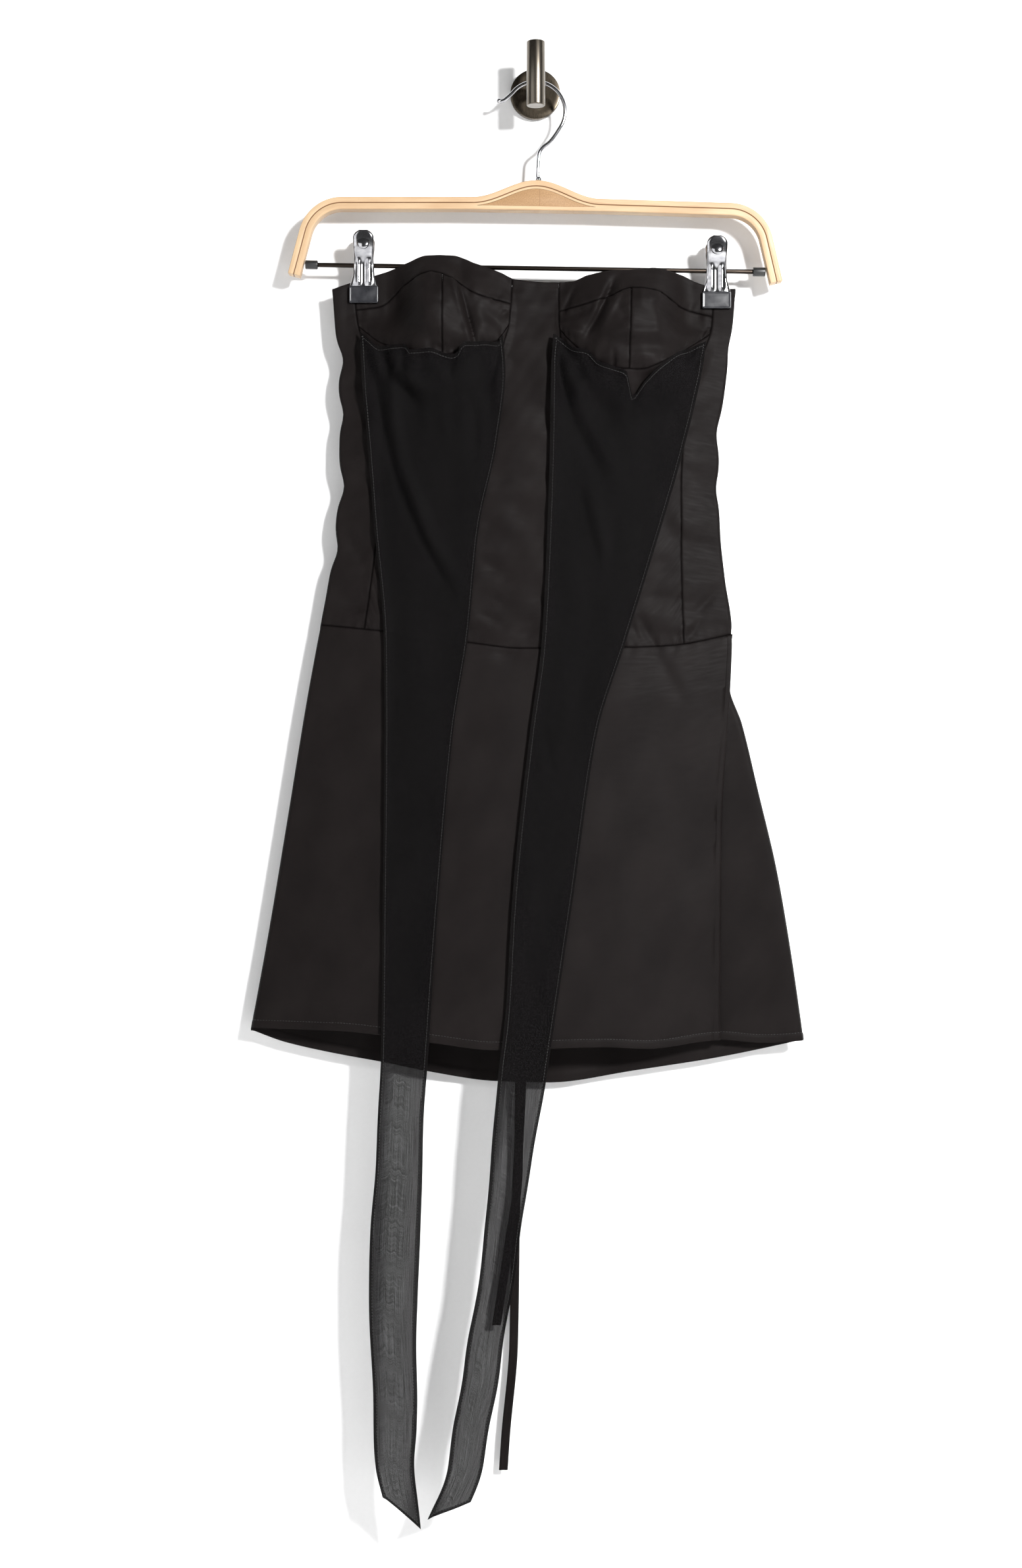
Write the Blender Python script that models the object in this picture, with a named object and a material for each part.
"""Halter mini dress of black satin and chiffon, clipped to a plywood hanger on a steel wall hook.

The wall is the plane y = 0, and everything hangs in front of it, towards -Y, with +X to the right of
the person who looks at it. The origin is the middle of the wall plate's back face. Every length below
is in millimetres, and the meshes are written in metres.
"""

import math
from typing import Callable, NamedTuple

import bmesh
import bpy
from mathutils import Matrix, Vector

MM = 0.001
GAP = 0.3  # between two pieces that meet
CHORD = 0.4  # more at the waist seam, whose two sides have their corners in different places
EDGE_INSET = GAP / 2 + 0.05  # a cloth piece ends this far from a seam line across the dress
SEAM_INSET = GAP / 2 + 0.15  # and this far from one down the dress

# Cloth walls
SATIN = 1.2
CHIFFON = 1.0
PLANE = -22.0  # y of the hanger, the clip jaws and the dress's side folds
ARC_SHARE = 0.06  # share of half a layer's width that goes into its round side fold
WAIST_BACK = -471.0  # height of the waist seam behind
BACK_TOP = -174.0  # height of the back panels' top edge
CENTRE_BACK_INSET = 0.001  # share of half a back's width, which leaves the gap at the centre back
TANGENT_STEP = 1e-3
BODICE_START = -300.0  # first guesses of heights that are settled in turns
SKIRT_START = -600.0
EDGE_EASE = 8.0  # dents fade out where the front stands out less than this, at its side folds

# Wall hook
PLATE_RADIUS = 22.0
PLATE_THICK = 6.0
STEM_RADIUS = 3.5
PEG_RADIUS = 8.0
PEG_Y = -45.0
PEG_LOW = -22.0
PEG_HIGH = 33.0

# Hanger, in its own upright frame: x from its middle and z down from the top of its hump
HANGER_TOP = (1.0, PLANE, -81.2)
HANGER_TILT = math.radians(0.9)  # its right end hangs lower
HUMP_HALF = 56.0
HUMP_DROP = 15.3
ARM_FLAT = 168.0
ARM_DROP = 17.0
BEND_RADIUS = 38.0
BEND_TURN = math.radians(76.0)
LEG_SLANT = math.radians(90.0) - BEND_TURN
LEG = 39.0
OUTER_STRIP = 5.2
INNER_STRIP = 5.6
WOOD_DEPTH = 12.0
CORE_PLY = 2.2  # of the inner strip, over the lens-shaped core
CORE_HALF = 52.0
HUMP_STEPS = 12
ROD_DROP = 75.2
ROD_RADIUS = 2.0
CAP_RADIUS = 3.9
CAP_LENGTH = 11.0
CAP_CLEARANCE = CAP_RADIUS * math.tan(LEG_SLANT) + GAP  # of the slanted legs at the cap's rim
WIRE_RADIUS = 1.75
HOOK_RADIUS = 25.6
HOOK_TOP = STEM_RADIUS + GAP + WIRE_RADIUS

# Spring clips, with heights from the rod's axis
CLIP_TOP = 28.5
CLIP_JAW_TOP = -18.5
CLIP_JAW_LOW = -33.0
CLIP_HEAD_HALF = 8.75
CLIP_JAW_HALF = 12.5
CLIP_SHEET = 1.0
JAW_THICK = 3.2
PINCH = (SATIN + GAP) / 2  # half the distance between the two cloth layers in the jaws
JAW_FACE = PINCH + SATIN / 2 + GAP
CLIP_X = (-149.0, 157.0)
CLIP_NAMES = ("left", "right")
PINCH_OUTWARDS = (14.0, 27.0)  # from a clip's middle, where the pressed layers start and stop parting
PINCH_INWARDS = (19.0, 56.0)
PINCH_BELOW = (3.0, 58.0)  # from the jaws' lower edges

# Narrow satin ties at the back
TIE_WIDTH = 8.0
TIE_THICK = 1.0


class Level(NamedTuple):
    """The dress at one height: its side folds, and how far it stands out in front and behind."""

    z: float
    left: float
    right: float
    front: float
    back: float
    round: float


# Below the waist seam, right is the bright fold edge at the front of the deep pleat.
LEVELS = (
    Level(-165, -177, 174, 12, 5, 1.2),
    Level(-205, -174, 171, 16, 6, 1.5),
    Level(-255, -171, 165, 19, 7, 3.5),
    Level(-300, -170, 160, 20, 7, 3.5),
    Level(-345, -171, 159, 20, 7, 3.5),
    Level(-385, -174, 160, 19, 7, 3.5),
    Level(-425, -179, 164, 18, 7, 3.5),
    Level(-470, -187, 170, 17, 7, 3.5),
    Level(-530, -198, 167, 19, 7, 4.0),
    Level(-640, -216, 160, 24, 8, 4.5),
    Level(-730, -231, 159, 28, 9, 5.0),
    Level(-830, -249, 158, 32, 9, 5.0),
    Level(-880, -257, 157, 33, 9, 5.0),
)


class Ripple(NamedTuple):
    """A soft crosswise dent that pulls a side fold in, and runs inwards over the panel."""

    side: int
    z: float
    pull: float
    dent: float
    half: float
    reach: float


RIPPLES = (
    Ripple(-1, -236, 5.0, 2.4, 13, 34),
    Ripple(-1, -283, 3.5, 2.8, 12, 40),
    Ripple(-1, -346, 5.0, 3.0, 14, 42),
    Ripple(-1, -401, 4.0, 2.6, 13, 36),
    Ripple(1, -226, 1.5, 1.8, 12, 30),
    Ripple(1, -300, 3.0, 2.2, 15, 34),
    Ripple(1, -348, 2.5, 2.2, 13, 30),
)


class Crease(NamedTuple):
    """A soft crease from one place to another on the front, with its depth and half width."""

    x0: float
    z0: float
    x1: float
    z1: float
    depth: float
    half: float


# Pressed in
FRONT_CREASES = (
    Crease(-64, -158, -53, -226, 4.5, 7),
    Crease(68, -170, 45, -224, 4.0, 8),
    Crease(-150, -203, -112, -186, 3.0, 6),
    Crease(-150, -425, -176, -437, 2.0, 8),
)

# Raised
DRAPE_RIDGES = {
    "left": (
        Crease(-141, -255, -78, -430, 3.5, 10),
        Crease(-126, -245, -92, -270, 2.5, 8),
        Crease(-66, -232, -74, -250, 2.5, 6),
    ),
    "right": (
        Crease(22, -240, 60, -340, 3.0, 9),
        Crease(90, -262, 76, -300, 3.0, 9),
        Crease(40, -352, 52, -412, 2.0, 8),
    ),
}


class Cup(NamedTuple):
    """One cup: where it swells most, how far it stands out, and its half sizes."""

    x: float
    z: float
    out: float
    half: float
    up: float
    down: float


CUPS = (Cup(-88, -196, 27, 72, 62, 84), Cup(88, -202, 27, 72, 64, 90))

# Seam lines on the front, as rows of height and x
CENTRE_LEFT_SEAM = ((-165, -20), (-200, -22), (-250, -35), (-330, -50), (-400, -58), (-490, -66))
CENTRE_RIGHT_SEAM = ((-165, 20), (-200, 20), (-250, 25), (-330, 33), (-400, 40), (-490, 47))
SIDE_LEFT_SEAM = (
    (-165, -158), (-200, -155), (-250, -140), (-300, -132), (-350, -134), (-404, -139), (-470, -148),
)
SIDE_RIGHT_SEAM = (
    (-165, 155), (-205, 153), (-250, 138), (-300, 128), (-350, 126), (-400, 126), (-480, 128),
)

CUP_LEFT_SEAM = ((-165, -80), (-238, -80), (-490, -104))
CUP_RIGHT_SEAM = ((-165, 82), (-250, 80), (-490, 88))

# Seam lines and edges on the front, as rows of x and height
TOP_EDGE = (
    (-177, -175), (-160, -169), (-133, -161), (-112, -154), (-92, -149), (-71, -149), (-51, -156),
    (-30, -163), (-17, -169), (11, -171), (31, -171), (45, -166), (65, -163), (86, -162), (106, -160),
    (126, -163), (140, -169), (155, -173), (174, -176),
)
BAND_SEAMS = {
    "left": ((-157, -193), (-135, -190), (-112, -173), (-90, -165), (-69, -173), (-51, -184), (-20, -191)),
    "right": ((20, -197), (45, -192), (64, -186), (82, -180), (104, -182), (127, -192), (155, -199)),
}
UNDER_CUP = {
    "left": ((-154, -207), (-130, -225), (-102, -233), (-79, -237), (-54, -228), (-36, -225), (-22, -207)),
    "right": (
        (20, -213), (32, -226), (55, -243), (72, -249), (90, -249), (104, -245), (119, -236), (133, -227),
        (154, -212),
    ),
}
WAIST_FRONT = ((-187, -466), (-131, -472), (-58, -482), (-12, -487), (80, -486), (119, -484), (171, -474))
HEM_FRONT = (
    (-249, -815), (-171, -816), (-90, -825), (-34, -831), (56, -829), (97, -831), (157, -825),
    (199, -828), (233, -826),
)
HEM_BACK = (
    (-249, -817), (-216, -829), (-134, -846), (-94, -854), (-36, -863), (10, -864), (94, -852),
    (163, -841), (234, -826),
)


class Pleat(NamedTuple):
    """The deep fold at the right of the skirt at one height."""

    z: float
    side: float
    lift: float
    opened: float
    deep: float


# side: x of the right side fold; lift: how far the front fold stands before it; opened: 0 shut, 1 open
PLEATS = (
    Pleat(-472, 170, 0.0, 0.0, 10),
    Pleat(-500, 168, 5.0, 0.0, 12),
    Pleat(-518, 168, 8.5, 0.0, 14),
    Pleat(-552, 179, 8.5, 0.7, 18),
    Pleat(-610, 193, 8.5, 1.0, 22),
    Pleat(-678, 209, 8.5, 1.0, 25),
    Pleat(-747, 221, 8.5, 1.0, 28),
    Pleat(-830, 233, 8.5, 1.0, 30),
    Pleat(-880, 240, 8.5, 1.0, 31),
)
PLEAT_RADIUS = 1.5
PLEAT_COLUMNS = 11  # one for each step between the pleat's stations
PLEAT_INSET = 0.02  # share that the pleat stops short of the side seam


class DrapeLevel(NamedTuple):
    """A halter drape's two long edges at one height."""

    z: float
    left: float
    right: float


DRAPES = {
    "left": (
        DrapeLevel(-205, -152, -30),
        DrapeLevel(-250, -150, -26),
        DrapeLevel(-310, -145, -33),
        DrapeLevel(-385, -139, -49),
        DrapeLevel(-475, -131, -58),
        DrapeLevel(-560, -130, -71),
        DrapeLevel(-700, -131, -83),
        DrapeLevel(-820, -132, -91),
        DrapeLevel(-927, -137, -97),
        DrapeLevel(-1040, -143, -101),
        DrapeLevel(-1154, -139, -103),
        DrapeLevel(-1240, -129, -101),
    ),
    "right": (
        DrapeLevel(-205, 16, 150),
        DrapeLevel(-250, 13, 143),
        DrapeLevel(-314, 12, 128),
        DrapeLevel(-406, 9, 101),
        DrapeLevel(-483, 5, 77),
        DrapeLevel(-559, -5, 53),
        DrapeLevel(-700, -20, 32),
        DrapeLevel(-800, -26, 17),
        DrapeLevel(-860, -33, 8),
        DrapeLevel(-983, -44, -13),
        DrapeLevel(-1096, -60, -31),
        DrapeLevel(-1186, -75, -45),
        DrapeLevel(-1231, -93, -62),
    ),
}
# The drapes' top edges, as rows of x and height, and the heights of their slanted ends
DRAPE_TOPS = {
    "left": (
        (-152, -212), (-130, -227), (-102, -234), (-79, -238), (-68, -239), (-60, -229), (-36, -227),
        (-29, -219),
    ),
    "right": (
        (16, -218), (32, -229), (55, -245), (76, -251), (83, -257), (88, -273), (96, -258), (119, -238),
        (133, -229), (149, -220),
    ),
}
DRAPE_ENDS = {"left": (-1215.0, -1240.0), "right": (-1231.0, -1218.0)}
DRAPE_TOP = -225.0  # mean height of their tops
DRAPE_STAND_OFF = 2.7  # from the middle of the satin wall to the middle of the chiffon wall


# Each tie's middle line, as rows of height and x
TIES = {
    "tie_a": ((-175, -7), (-471, -10), (-700, -12), (-869, -14), (-943, -15), (-1010, -24), (-1076, -34)),
    "tie_b": ((-175, 4), (-471, -2), (-700, -8), (-869, -12), (-972, -17), (-1093, -19), (-1173, -26),
              (-1203, -28)),
}
TIE_STAND_OFF = {"tie_a": 1.8, "tie_b": 3.6}  # from the middle of the back's wall
TIE_STEPS = {"tie_a": 26, "tie_b": 29}


class Finish(NamedTuple):
    """A plain finish for one kind of piece."""

    name: str
    colour: tuple
    roughness: float
    metallic: float


BLACK_SATIN = Finish("black_satin", (0.012, 0.010, 0.009), 0.42, 0.0)
BLACK_CHIFFON = Finish("black_chiffon", (0.008, 0.008, 0.008), 0.85, 0.0)
PLYWOOD = Finish("light_plywood", (0.72, 0.50, 0.29), 0.5, 0.0)
WOOD_CORE = Finish("tan_wood_core", (0.50, 0.30, 0.13), 0.55, 0.0)
CHROME = Finish("chrome", (0.75, 0.75, 0.76), 0.08, 1.0)
BRUSHED_STEEL = Finish("brushed_steel", (0.48, 0.45, 0.41), 0.32, 1.0)
GREY_RUBBER = Finish("grey_rubber", (0.035, 0.038, 0.042), 0.35, 0.0)
BLACK_PLASTIC = Finish("black_plastic", (0.012, 0.012, 0.012), 0.4, 0.0)


class Curve:
    """A smooth curve through rows of (place, value) that never overshoots, level beyond its ends."""

    def __init__(self, rows):
        rows = sorted(rows)
        self.places = [float(row[0]) for row in rows]
        self.values = [float(row[1]) for row in rows]
        rises = [
            (self.values[k + 1] - self.values[k]) / (self.places[k + 1] - self.places[k])
            for k in range(len(rows) - 1)
        ]
        inner = [
            0.0 if before * after <= 0 else 2 * before * after / (before + after)
            for before, after in zip(rises, rises[1:])
        ]
        self.slopes = [rises[0], *inner, rises[-1]]

    def __call__(self, place):
        place = min(max(place, self.places[0]), self.places[-1])
        k = 0
        while k < len(self.places) - 2 and place > self.places[k + 1]:
            k += 1
        span = self.places[k + 1] - self.places[k]
        t = (place - self.places[k]) / span
        bend = t * t * (3 - 2 * t)
        return (
            self.values[k] * (1 - bend)
            + self.values[k + 1] * bend
            + self.slopes[k] * span * t * (1 - t) ** 2
            - self.slopes[k + 1] * span * t * t * (1 - t)
        )


def column(rows, name):
    """The smooth curve of one named column of a table over its heights."""
    return Curve([(row.z, getattr(row, name)) for row in rows])


LEFT = column(LEVELS, "left")
RIGHT = column(LEVELS, "right")
FRONT = column(LEVELS, "front")
BACK = column(LEVELS, "back")
ROUND = column(LEVELS, "round")
PLEAT_SIDE = column(PLEATS, "side")
PLEAT_LIFT = column(PLEATS, "lift")
PLEAT_OPENED = column(PLEATS, "opened")
PLEAT_DEEP = column(PLEATS, "deep")
TOP = Curve(TOP_EDGE)
WAIST = Curve(WAIST_FRONT)
FRONT_HEM = Curve(HEM_FRONT)
BACK_HEM = Curve(HEM_BACK)


def between(low, high, share):
    """The value a share of the way from low to high."""
    return low + (high - low) * share


def fade(distance, full, none):
    """1 up to the distance full, falling smoothly to 0 at the distance none."""
    t = min(max((distance - full) / (none - full), 0.0), 1.0)
    return 1 - t * t * (3 - 2 * t)


def bell(t):
    """A soft bump that is 1 at 0 and nearly 0 at 2."""
    return math.exp(-t * t)


def side_pull(side, z):
    """How far the ripples pull one side fold of the bodice in at this height."""
    return sum(r.pull * bell((z - r.z) / r.half) for r in RIPPLES if r.side == side)


def crease_depth(creases, x, z):
    """How deep a set of creases is at a place. Each runs out towards its two ends."""
    total = 0.0
    for crease in creases:
        along = Vector((crease.x1 - crease.x0, crease.z1 - crease.z0))
        reach = Vector((x - crease.x0, z - crease.z0))
        share = min(max(reach.dot(along) / along.length_squared, 0.0), 1.0)
        away = (reach - along * share).length
        swell = math.sin(math.pi * between(0.15, 0.85, share))
        total += crease.depth * bell(away / crease.half) * swell
    return total


def cup_swell(x, z):
    """How far the cups stand out of the front panels at a place."""
    total = 0.0
    for cup in CUPS:
        tall = cup.up if z > cup.z else cup.down
        inside = 1 - ((x - cup.x) / cup.half) ** 2 - ((z - cup.z) / tall) ** 2
        total += cup.out * max(inside, 0.0) ** 1.5
    return total


def pinch_share(x, z):
    """1 where a clip's jaws press the two layers together, falling to 0 around them."""
    total = 0.0
    for clip_x in CLIP_X:
        outwards = (x - clip_x) * math.copysign(1, clip_x)
        across = fade(abs(outwards), *(PINCH_OUTWARDS if outwards > 0 else PINCH_INWARDS))
        total += across * fade(rod_height(clip_x) + CLIP_JAW_LOW - z, *PINCH_BELOW)
    return min(total, 1.0)


def hanger_point(x, z):
    """A place on the tilted hanger's middle plane, from its own upright frame."""
    return Vector((
        HANGER_TOP[0] + x * math.cos(HANGER_TILT) + z * math.sin(HANGER_TILT),
        PLANE,
        HANGER_TOP[2] + z * math.cos(HANGER_TILT) - x * math.sin(HANGER_TILT),
    ))


def rod_height(x):
    """The height of the rod's axis over a place."""
    return hanger_point(x - HANGER_TOP[0], -ROD_DROP).z


def layer(u, left, right, out, fold):
    """One layer of cloth from its left side fold (u = -1) to its right one (u = 1).

    Gives x and how far the layer stands out of the hanging plane. Past its side folds it turns round
    into the other layer.
    """
    side = math.copysign(1, u)
    inwards = 1 - abs(u)
    if inwards < ARC_SHARE:
        angle = inwards / ARC_SHARE * math.pi / 2
        edge = right if side > 0 else left
        return edge - side * fold * (1 - math.cos(angle)), fold * math.sin(angle)
    t = u / (1 - ARC_SHARE)
    x = (left + right) / 2 + ((right - left) / 2 - fold) * t
    return x, fold + (out - fold) * (1 - t * t)


def layer_share(x, left, right, fold):
    """The u of layer() at an x away from the side folds."""
    return (x - (left + right) / 2) / ((right - left) / 2 - fold) * (1 - ARC_SHARE)


def detail(x, z, out):
    """How far the front stands out with the cups, creases and clips, from its plain distance."""
    dents = crease_depth(FRONT_CREASES, x, z)
    for r in RIPPLES:
        edge = (LEFT if r.side < 0 else RIGHT)(z)
        dents += r.dent * bell((z - r.z) / r.half) * bell((x - edge) / r.reach)
    shaped = out + cup_swell(x, z) - dents * min(out / EDGE_EASE, 1)
    return between(shaped, min(out, PINCH), pinch_share(x, z))


def bodice_point(u, z, front):
    """A place on the middle of the bodice's wall: u runs from -1 to 1 across the front or the back."""
    left = LEFT(z) + side_pull(-1, z)
    right = RIGHT(z) - side_pull(1, z)
    fold = ROUND(z)
    if abs(u) > 1:
        u = math.copysign(2, u) - u
        front = not front
    x, out = layer(u, left, right, (FRONT if front else BACK)(z), fold)
    if front:
        return Vector((x, PLANE - detail(x, z, out), z))
    return Vector((x, PLANE + between(out, min(out, PINCH), pinch_share(x, z)), z))


def front_share(x, z):
    """The u across the bodice front at an x."""
    return layer_share(x, LEFT(z) + side_pull(-1, z), RIGHT(z) - side_pull(1, z), ROUND(z))


def lift_at(x, z):
    """How far the pleat's front fold stands out at a height, which starts from the waist seam there."""
    return PLEAT_LIFT(z - WAIST(x) + PLEATS[0].z)


def skirt_front_out(x, z):
    """How far the skirt's main front layer stands out of the hanging plane at an x."""
    u = layer_share(x, LEFT(z), RIGHT(z), ROUND(z))
    u = min(max(u, ARC_SHARE - 1), 1 - ARC_SHARE)
    share = (1 + u) / 2
    return layer(u, LEFT(z), RIGHT(z), FRONT(z), ROUND(z))[1] + lift_at(x, z) * share * share


def skirt_front_point(u, z):
    """A place on the skirt front's wall: u from -1 to 1 is its main layer, and 1 to 2 the pleat."""
    left = LEFT(z)
    edge = RIGHT(z)
    fold = ROUND(z)
    if u < -1:
        x, out = layer(-2 - u, left, PLEAT_SIDE(z), BACK(z), fold)
        return Vector((x, PLANE + out, z))
    if u <= 1 - ARC_SHARE:
        x, out = layer(u, left, edge, FRONT(z), fold)
        share = (1 + u) / 2
        return Vector((x, PLANE - out - lift_at(x, z) * share * share, z))
    lift = lift_at(edge, z)
    opened = PLEAT_OPENED(z)
    deep = PLEAT_DEEP(z)
    side = PLEAT_SIDE(z)
    edge_out = fold + lift * (1 - ARC_SHARE / 2) ** 2
    turn = between(0.25, 1.0, opened) * PLEAT_RADIUS
    inner = edge - opened * deep
    stations = (
        (edge - fold, edge_out),
        (edge - 0.3 * fold, edge_out - 0.3 * turn),
        (edge, edge_out - turn),
        (edge - opened * turn, edge_out - 2 * turn),
        (inner, edge_out - 2 * turn - 0.1 * lift),
        (inner - opened * turn, edge_out - 3 * turn - 0.1 * lift),
        (inner, edge_out - 4 * turn - 0.1 * lift),
        (between(inner, side - fold, 0.35), between(edge_out - 4 * turn, fold, 0.6)),
        (between(inner, side - fold, 0.7), between(edge_out - 4 * turn, fold, 0.9)),
        (side - fold, fold),
        (side - 0.3 * fold, 0.71 * fold),
        (side, 0.0),
        (side - 0.3 * fold, -0.71 * fold),
    )
    place = (u - 1 + ARC_SHARE) / (1 + ARC_SHARE) * (len(stations) - 2)
    k = min(int(place), len(stations) - 2)
    share = place - k
    x = between(stations[k][0], stations[k + 1][0], share)
    out = between(stations[k][1], stations[k + 1][1], share)
    return Vector((x, PLANE - out, z))


def skirt_back_point(u, z):
    """A place on the middle of the skirt back's wall, u from -1 to 1 between the side folds."""
    left = LEFT(z)
    side = PLEAT_SIDE(z)
    x, out = layer(math.copysign(min(abs(u), 2 - abs(u)), u), left, side, BACK(z), ROUND(z))
    return Vector((x, PLANE + (out if abs(u) <= 1 else -out), z))


def front_face(x, z):
    """How far the middle of the dress's front wall stands out of the hanging plane at a place."""
    if z > WAIST(x):
        u = min(max(front_share(x, z), ARC_SHARE - 1), 1 - ARC_SHARE)
        out = layer(u, LEFT(z) + side_pull(-1, z), RIGHT(z) - side_pull(1, z), FRONT(z), ROUND(z))[1]
        return detail(x, z, out)
    return skirt_front_out(x, max(z, FRONT_HEM(x)))


def material(finish):
    """The Principled BSDF material of one finish, made once."""
    made = bpy.data.materials.get(finish.name)
    if made is None:
        made = bpy.data.materials.new(finish.name)
        made.use_nodes = True
        shader = made.node_tree.nodes["Principled BSDF"]
        shader.inputs["Base Color"].default_value = (*finish.colour, 1)
        shader.inputs["Roughness"].default_value = finish.roughness
        shader.inputs["Metallic"].default_value = finish.metallic
    return made


def keep(mesh_builder, name, finish, smooth=True):
    """Makes a bmesh in millimetres an object of the scene, in metres, with its faces pointing out."""
    bmesh.ops.recalc_face_normals(mesh_builder, faces=mesh_builder.faces)
    bmesh.ops.scale(mesh_builder, vec=(MM, MM, MM), verts=mesh_builder.verts)
    mesh = bpy.data.meshes.new(name)
    mesh_builder.to_mesh(mesh)
    mesh_builder.free()
    if smooth:
        mesh.shade_smooth()
        mesh.set_sharp_from_angle(angle=math.radians(40))
    mesh.materials.append(material(finish))
    made = bpy.data.objects.new(name, mesh)
    bpy.context.scene.collection.objects.link(made)
    return made


def unit_tangent(at, u, v, du, dv):
    """The direction of the surface along u or v, halfway between its two sides at that place."""
    here = at(u, v)
    after = at(u + du, v + dv) - here
    before = here - at(u - du, v - dv)
    return after.normalized() + before.normalized()


def wall(name, at: Callable, columns, rows, thick, finish):
    """A closed cloth wall about the surface at(u, v), with a vertex at every column and row."""
    shell = bmesh.new()
    outer = []
    inner = []
    for u in columns:
        outer.append([])
        inner.append([])
        for v in rows:
            across = unit_tangent(at, u, v, TANGENT_STEP, 0)
            down = unit_tangent(at, u, v, 0, TANGENT_STEP)
            normal = across.cross(down).normalized()
            middle = at(u, v)
            outer[-1].append(shell.verts.new(middle + normal * thick / 2))
            inner[-1].append(shell.verts.new(middle - normal * thick / 2))
    for side in (outer, inner):
        for i in range(len(columns) - 1):
            for j in range(len(rows) - 1):
                shell.faces.new((side[i][j], side[i + 1][j], side[i + 1][j + 1], side[i][j + 1]))
    last_i = len(columns) - 1
    last_j = len(rows) - 1
    for i in range(last_i):
        for j in (0, last_j):
            shell.faces.new((outer[i][j], outer[i + 1][j], inner[i + 1][j], inner[i][j]))
    for j in range(last_j):
        for i in (0, last_i):
            shell.faces.new((outer[i][j], outer[i][j + 1], inner[i][j + 1], inner[i][j]))
    keep(shell, name, finish)


def even(count, low=0.0, high=1.0):
    """count equal steps from low to high, both included."""
    return [between(low, high, k / count) for k in range(count + 1)]


def front_piece(name, seams, top, low, steps):
    """A bodice front piece between two edge lines, which give a height for an x.

    seams are the lines that it runs between, from left to right, each an x for a height, or None at a
    side fold. A line between the first and the last only guides the columns, so that they meet those
    of the pieces above and below. steps gives the columns between two lines, and the rows.
    """

    def stations(z):
        fold_inset = GAP / 2 / (ROUND(z) * math.pi / 2) * ARC_SHARE
        found = [0.0 if line is None else front_share(line(z), z) for line in seams]
        found[0] = -1 + fold_inset if seams[0] is None else front_share(seams[0](z) + SEAM_INSET, z)
        found[-1] = 1 - fold_inset if seams[-1] is None else front_share(seams[-1](z) - SEAM_INSET, z)
        return found

    def at(u, v):
        spans = len(seams) - 1
        k = min(max(int(u * spans), 0), spans - 1)
        z = BODICE_START
        # An edge's height depends on x, and a seam's x on the height, so they are settled in turns.
        for _ in range(6):
            marks = stations(z)
            share = between(marks[k], marks[k + 1], u * spans - k)
            x = bodice_point(share, z, True).x
            z = between(top(x) - EDGE_INSET, low(x) + EDGE_INSET, v)
        return bodice_point(share, z, True)

    if seams[0] is None:
        columns = [0.0, 0.06, 0.14, *even(steps[0], 0.3, 1.0)]
    elif seams[-1] is None:
        columns = [*even(steps[0], 0.0, 0.7), 0.86, 0.94, 1.0]
    else:
        columns = even(steps[0] * (len(seams) - 1))
    wall(name, at, columns, even(steps[1]), SATIN, BLACK_SATIN)


def build_bodice():
    """The bodice: centre front, cups with their bands, fronts below them, sides and backs."""
    centre_left = Curve(CENTRE_LEFT_SEAM)
    centre_right = Curve(CENTRE_RIGHT_SEAM)
    side_left = Curve(SIDE_LEFT_SEAM)
    side_right = Curve(SIDE_RIGHT_SEAM)
    front_piece("bodice_centre_front", (centre_left, centre_right), TOP, WAIST, (5, 18))
    front_piece("side_left", (None, side_left), TOP, WAIST, (3, 26))
    front_piece("side_right", (side_right, None), TOP, WAIST, (3, 26))
    halves = {
        "left": (side_left, Curve(CUP_LEFT_SEAM), centre_left),
        "right": (centre_right, Curve(CUP_RIGHT_SEAM), side_right),
    }
    for side, (first, split, last) in halves.items():
        band_seam = Curve(BAND_SEAMS[side])
        under = Curve(UNDER_CUP[side])
        names = ("outer", "inner") if side == "left" else ("inner", "outer")
        front_piece(f"cup_band_{side}", (first, split, last), TOP, band_seam, (6, 2))
        front_piece(f"cup_{names[0]}_{side}", (first, split), band_seam, under, (6, 6))
        front_piece(f"cup_{names[1]}_{side}", (split, last), band_seam, under, (6, 6))
        front_piece(f"front_{side}", (first, split, last), under, WAIST, (6, 12))
    build_backs()


def build_backs():
    """The two back panels, which meet at the centre back."""
    for side in (-1, 1):

        def at(u, v, side=side):
            z = between(BACK_TOP, WAIST_BACK + GAP / 2, v)
            inset = GAP / 2 / (ROUND(z) * math.pi / 2) * ARC_SHARE
            return bodice_point(side * between(CENTRE_BACK_INSET, 1 - inset, u), z, False)

        columns = (0.0, 0.22, 0.44, 0.62, 0.72, 0.8, 0.88, 0.94, 0.975, 1.0)
        name = "back_left" if side < 0 else "back_right"
        wall(name, at, columns, (0.0, 0.03, 0.07, *even(10, 0.12, 1.0)), SATIN, BLACK_SATIN)


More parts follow.
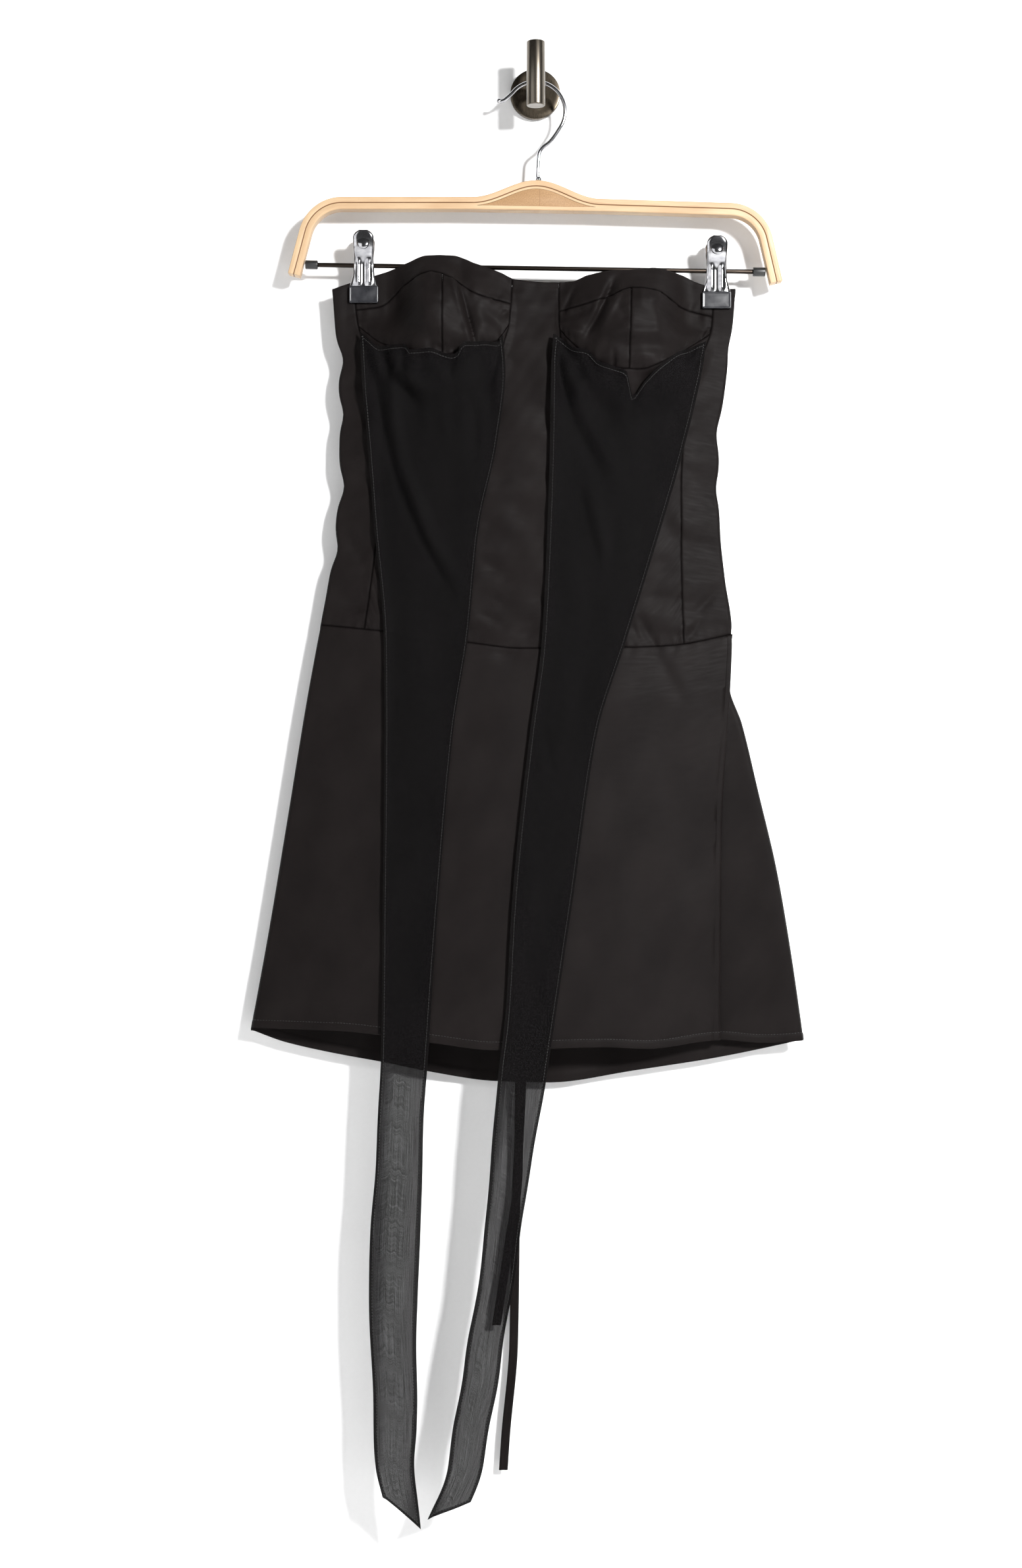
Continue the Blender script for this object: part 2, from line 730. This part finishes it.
def build_skirt():
    """The skirt front with its deep pleat, and the longer skirt back."""

    turn = 1 - ARC_SHARE
    last = between(turn, 2.0, 1 - 1 / PLEAT_COLUMNS)

    def front_at(u, v):
        z = SKIRT_START
        for _ in range(5):
            inset = GAP / 2 / (ROUND(z) * math.pi / 2) * ARC_SHARE
            share = u
            if u < -turn:
                share = between(-1 + inset, -turn, (u + 1) / ARC_SHARE)
            elif u > last:
                share = between(last, 2 - PLEAT_INSET, (u - last) / (2 - last))
            x = skirt_front_point(share, z).x
            z = between(WAIST(x) - GAP / 2 - CHORD, FRONT_HEM(x), v)
        return skirt_front_point(share, z)

    columns = [*even(3, -1.0, -turn), *even(11, -0.8, turn - 0.05), *even(PLEAT_COLUMNS, turn, 2.0)]
    wall("skirt_front", front_at, columns, even(12), SATIN, BLACK_SATIN)

    def back_at(u, v):
        z = SKIRT_START
        for _ in range(5):
            inset = GAP / 2 / (ROUND(z) * math.pi / 2) * ARC_SHARE
            share = between(-1 + inset, 1 - inset, u)
            x = skirt_back_point(share, z).x
            z = between(WAIST_BACK - GAP / 2, BACK_HEM(x), v)
        return skirt_back_point(share, z)

    ends = (0.0, 0.01, 0.02, 0.03)
    columns = [*ends, *even(8, 0.09, 0.91), *(1 - end for end in reversed(ends))]
    wall("skirt_back", back_at, columns, even(11), SATIN, BLACK_SATIN)


def build_drape(side):
    """A halter drape, which lies on the front from under a cup and hangs free below the hem."""
    left = column(DRAPES[side], "left")
    right = column(DRAPES[side], "right")
    top = Curve(DRAPE_TOPS[side])
    first, last = DRAPE_ENDS[side]

    def at(u, v):
        start = top(between(left(DRAPE_TOP), right(DRAPE_TOP), u))
        z = between(start, between(first, last, u), v)
        x = between(left(z), right(z), u)
        ridge = crease_depth(DRAPE_RIDGES[side], x, z)
        return Vector((x, PLANE - front_face(x, z) - DRAPE_STAND_OFF - ridge, z))

    rows = [*even(13, 0.0, 0.3), *even(13, 0.34, 1.0)]
    wall(f"drape_{side}", at, even(7), rows, CHIFFON, BLACK_CHIFFON)


def build_ties():
    """The two narrow ties, flat strips that hang from the top of the centre back."""
    for name, route in TIES.items():
        middle = Curve(route)
        low = min(row[0] for row in route)
        high = max(row[0] for row in route)

        def at(u, v, middle=middle, low=low, high=high, name=name):
            z = between(high, low, v)
            x = middle(z) + (u - 0.5) * TIE_WIDTH
            depth = BACK(max(z, BACK_HEM(x)))
            return Vector((x, PLANE + depth + TIE_STAND_OFF[name], z))

        wall(name, at, (0.0, 1.0), even(TIE_STEPS[name]), TIE_THICK, BLACK_SATIN)


def turned(name, outline, finish, segments, place, turn=None):
    """A turned solid from rows of (radius, height along its axis), with its axis along Z until turned."""
    solid = bmesh.new()
    rings = []
    for radius, height in outline:
        ring = [
            solid.verts.new((
                radius * math.cos(2 * math.pi * k / segments),
                radius * math.sin(2 * math.pi * k / segments),
                height,
            ))
            for k in range(segments)
        ]
        rings.append(ring)
    for lower, upper in zip(rings, rings[1:]):
        for k in range(segments):
            after = (k + 1) % segments
            solid.faces.new((lower[k], lower[after], upper[after], upper[k]))
    solid.faces.new(rings[0])
    solid.faces.new(rings[-1])
    if turn is not None:
        bmesh.ops.rotate(solid, matrix=turn, verts=solid.verts)
    bmesh.ops.translate(solid, vec=place, verts=solid.verts)
    keep(solid, name, finish)


def rounded_rod(radius, length, edge):
    """The outline of a rod of this length whose ends have a small chamfer."""
    return ((radius - edge, 0), (radius, edge), (radius, length - edge), (radius - edge, length))


def build_wall_hook():
    """The wall plate, its stem and the upright peg on the stem."""
    forward = Matrix.Rotation(math.radians(90), 3, "X")
    turned("wall_plate", ((PLATE_RADIUS, 0), (PLATE_RADIUS, PLATE_THICK - 1.2),
           (PLATE_RADIUS - 1.2, PLATE_THICK)), BRUSHED_STEEL, 56, (0, 0, 0), forward)
    stem_start = PLATE_THICK + GAP
    stem_length = -PEG_Y - PEG_RADIUS - GAP - stem_start
    turned("wall_stem", rounded_rod(STEM_RADIUS, stem_length, 0.01), BRUSHED_STEEL, 24,
           (0, -stem_start, 0), forward)
    turned("wall_peg", rounded_rod(PEG_RADIUS, PEG_HIGH - PEG_LOW, 0.8), BRUSHED_STEEL, 36,
           (0, PEG_Y, PEG_LOW))


def hook_route():
    """The middle of the hanger's wire hook, from its tip over the stem and down to the wood."""
    centre = Vector((0.0, HOOK_TOP - HOOK_RADIUS))
    points = [(-31.5, -11.4), (-28.0, -10.8), (-24.5, -8.3)]
    for k in range(13):
        angle = math.radians(between(141, -33, k / 12))
        points.append((
            centre.x + HOOK_RADIUS * math.cos(angle),
            centre.y + HOOK_RADIUS * math.sin(angle),
        ))
    points += [(12.5, -46.5), (5.5, -52.5), (3.2, -56.5), (2.6, -62.0), (1.6, HANGER_TOP[2] + GAP)]
    return [Vector((x, PLANE, z)) for x, z in points]


def wire(name, points, radius, finish):
    """Makes a round wire through points, as a curve object with closed ends."""
    data = bpy.data.curves.new(name, "CURVE")
    data.dimensions = "3D"
    data.bevel_depth = radius * MM
    data.bevel_resolution = 2
    data.use_fill_caps = True
    spline = data.splines.new("POLY")
    spline.points.add(len(points) - 1)
    for point, place in zip(spline.points, points):
        point.co = (*(place * MM), 1)
    data.materials.append(material(finish))
    bpy.context.scene.collection.objects.link(bpy.data.objects.new(name, data))


def hanger_half():
    """The outer line of half the hanger, as (x, z, direction) from the top of its hump to its end."""
    rows = []
    for k in range(HUMP_STEPS + 1):
        x = HUMP_HALF * k / HUMP_STEPS
        z = -HUMP_DROP / 2 * (1 - math.cos(math.pi * x / HUMP_HALF))
        slope = -HUMP_DROP / 2 * math.pi / HUMP_HALF * math.sin(math.pi * x / HUMP_HALF)
        rows.append((x, z, math.atan(slope)))
    arm_slope = math.atan((HUMP_DROP - ARM_DROP) / (ARM_FLAT - HUMP_HALF))
    for k in range(1, 3):
        share = k / 3
        rows.append((between(HUMP_HALF, ARM_FLAT, share), between(-HUMP_DROP, -ARM_DROP, share), arm_slope))
    for k in range(9):
        turn = BEND_TURN * k / 8
        rows.append((
            ARM_FLAT + BEND_RADIUS * math.sin(turn),
            -ARM_DROP - BEND_RADIUS * (1 - math.cos(turn)),
            -turn,
        ))
    x, z, direction = rows[-1]
    rows.append((x + LEG * math.cos(direction), z + LEG * math.sin(direction), direction))
    return rows


def hanger_line(depth):
    """A line along the whole hanger, depth inwards from its outer line, from left end to right end."""
    right = [
        Vector((x + depth * math.sin(direction), z - depth * math.cos(direction)))
        for x, z, direction in hanger_half()
    ]
    left = [Vector((-point.x, point.y)) for point in reversed(right[1:])]
    return left + right


def strip(name, upper, lower, finish):
    """A wooden strip between two lines of the same number of points, as deep as the hanger."""
    solid = bmesh.new()
    rings = []
    for over, under in zip(upper, lower):
        corners = []
        for line_point, y in ((over, -1), (over, 1), (under, 1), (under, -1)):
            place = hanger_point(line_point.x, line_point.y)
            place.y += y * WOOD_DEPTH / 2
            corners.append(solid.verts.new(place))
        rings.append(corners)
    for first, second in zip(rings, rings[1:]):
        for k in range(4):
            after = (k + 1) % 4
            solid.faces.new((first[k], first[after], second[after], second[k]))
    solid.faces.new(rings[0])
    solid.faces.new(rings[-1])
    return keep(solid, name, finish, smooth=False)


def build_hanger():
    """The plywood hanger: two bent strips, the core under the hump, the rod, its caps and the hook."""
    whole = OUTER_STRIP + INNER_STRIP
    glue = hanger_line(OUTER_STRIP + GAP)
    strip("hanger_outer", hanger_line(0), hanger_line(OUTER_STRIP), PLYWOOD)
    arm_low = -HUMP_DROP - whole
    under = [
        Vector((point.x, arm_low if abs(point.x) < HUMP_HALF else point.y))
        for point in hanger_line(whole)
    ]
    inner = strip("hanger_inner", glue, under, PLYWOOD)
    core_top = [point for point in hanger_line(OUTER_STRIP + CORE_PLY) if abs(point.x) < CORE_HALF]
    core_low = -HUMP_DROP - OUTER_STRIP - CORE_PLY
    floor_line = [Vector((point.x, min(core_low, point.y - 0.05))) for point in core_top]
    cutter = strip("core_cutter", core_top, floor_line, PLYWOOD)
    cutter.hide_render = True
    cutter.display_type = "WIRE"
    for corner in cutter.data.vertices:
        corner.co.y = PLANE * MM + (corner.co.y - PLANE * MM) * 1.5
    hollow = inner.modifiers.new("core", "BOOLEAN")
    hollow.operation = "DIFFERENCE"
    hollow.object = cutter
    ends = GAP + 0.2
    core_over = [
        Vector((point.x * (1 - ends / CORE_HALF), point.y - GAP)) for point in core_top[1:-1]
    ]
    core_under = [Vector((point.x, core_low + GAP)) for point in core_over]
    strip("hanger_core", core_over, core_under, WOOD_CORE)
    build_rod()
    wire("hanger_hook", hook_route(), WIRE_RADIUS, CHROME)


def leg_face():
    """The x of the legs' inner faces at the rod, in the hanger's own frame."""
    line = hanger_line(OUTER_STRIP + INNER_STRIP)
    above, low = line[-2], line[-1]
    share = (-ROD_DROP - above.y) / (low.y - above.y)
    return between(above.x, low.x, share)


def build_rod():
    """The steel rod between the hanger's legs, with a plastic cap on each end."""
    face = leg_face() - CAP_CLEARANCE
    along = Matrix.Rotation(math.radians(90) + HANGER_TILT, 3, "Y")
    rod_half = face - CAP_LENGTH - GAP
    start = hanger_point(-rod_half, -ROD_DROP)
    turned("hanger_rod", rounded_rod(ROD_RADIUS, 2 * rod_half, 0.01), BRUSHED_STEEL, 16, start, along)
    for name, first in (("rod_cap_left", -face), ("rod_cap_right", face - CAP_LENGTH)):
        turned(name, rounded_rod(CAP_RADIUS, CAP_LENGTH, 0.6), BLACK_PLASTIC, 20,
               hanger_point(first, -ROD_DROP), along)


class ClipRow(NamedTuple):
    """A clip plate at one height from the rod: its half width, and its middle's distance in front."""

    z: float
    half: float
    out: float


CLIP_ROWS = (
    ClipRow(CLIP_TOP, 3.4, 11.0),
    ClipRow(CLIP_TOP - 2.2, 6.8, 10.9),
    ClipRow(CLIP_TOP - 6.0, CLIP_HEAD_HALF, 10.4),
    ClipRow(CLIP_TOP - 13.0, 8.5, 8.6),
    ClipRow(7.0, 8.0, 5.0),
    ClipRow(0.0, 8.4, ROD_RADIUS + GAP + CLIP_SHEET / 2),
    ClipRow(-8.0, 9.0, ROD_RADIUS + GAP + CLIP_SHEET / 2),
    ClipRow(-14.0, 10.6, JAW_FACE + CLIP_SHEET / 2 + 0.6),
    ClipRow(CLIP_JAW_TOP + GAP, CLIP_JAW_HALF - 0.6, JAW_FACE + CLIP_SHEET / 2 + 0.7),
)


def build_clip(side, clip_x):
    """One spring clip: two bent plates over the rod and two rubber jaws that hold the cloth."""
    rod_z = rod_height(clip_x)
    for face, name in ((-1, "front"), (1, "back")):
        half = Curve([(row.z, row.half) for row in CLIP_ROWS])
        out = Curve([(row.z, row.out) for row in CLIP_ROWS])

        def at(u, v, face=face, half=half, out=out):
            z = between(CLIP_ROWS[0].z, CLIP_ROWS[-1].z, v)
            x = clip_x + (2 * u - 1) * half(z)
            return Vector((x, PLANE + face * out(z), rod_z + z))

        heights = [(CLIP_ROWS[0].z - row.z) / (CLIP_ROWS[0].z - CLIP_ROWS[-1].z) for row in CLIP_ROWS]
        wall(f"clip_{side}_{name}", at, even(4), heights, CLIP_SHEET, CHROME)

        def jaw_at(u, v, face=face):
            z = between(CLIP_JAW_TOP, CLIP_JAW_LOW, v)
            x = clip_x + (2 * u - 1) * CLIP_JAW_HALF
            return Vector((x, PLANE + face * (JAW_FACE + JAW_THICK / 2), rod_z + z))

        wall(f"jaw_{side}_{name}", jaw_at, even(2), even(2), JAW_THICK, GREY_RUBBER)


def clear_scene():
    """Removes what the scene starts with."""
    for old in list(bpy.data.objects):
        bpy.data.objects.remove(old, do_unlink=True)


def main():
    """Builds every piece."""
    clear_scene()
    build_wall_hook()
    build_hanger()
    for side, clip_x in zip(CLIP_NAMES, CLIP_X):
        build_clip(side, clip_x)
    build_bodice()
    build_skirt()
    for side in DRAPES:
        build_drape(side)
    build_ties()


main()
